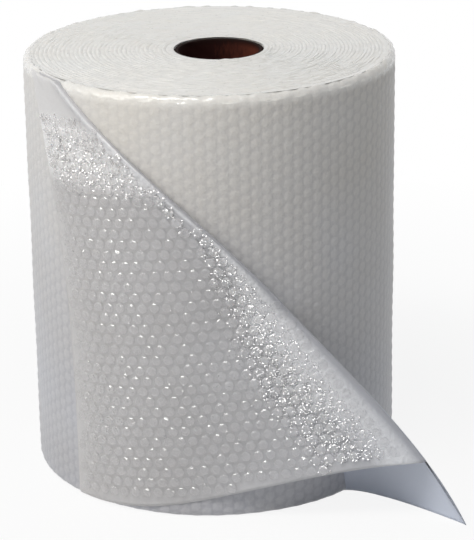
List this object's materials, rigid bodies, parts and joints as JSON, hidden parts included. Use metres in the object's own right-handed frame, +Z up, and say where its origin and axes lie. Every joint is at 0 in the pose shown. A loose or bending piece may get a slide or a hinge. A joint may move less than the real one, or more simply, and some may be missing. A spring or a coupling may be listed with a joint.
{
  "type": "bubble film roll",
  "caption": "Standing roll of clear bubble cushioning film wound on a cardboard core, its loose end folded over in a soft diagonal fold with the bottom corner flared out on the floor.",
  "frame": {"origin": "on the axis of the cardboard core, at the floor the roll stands on", "axes": "+Z up along the core's axis, -Y towards the front with the folded end, +X to the right, where the bottom corner flares out"},
  "size_m": [0.4008, 0.3777, 0.4],
  "materials": {
    "film": "clear polyethylene bubble film, milky white where it is wound",
    "cardboard": "spiral-wound brown board"
  },
  "bodies": {
    "root": {"bubble_film": "film", "core_tube": "cardboard"}
  },
  "joints": []
}
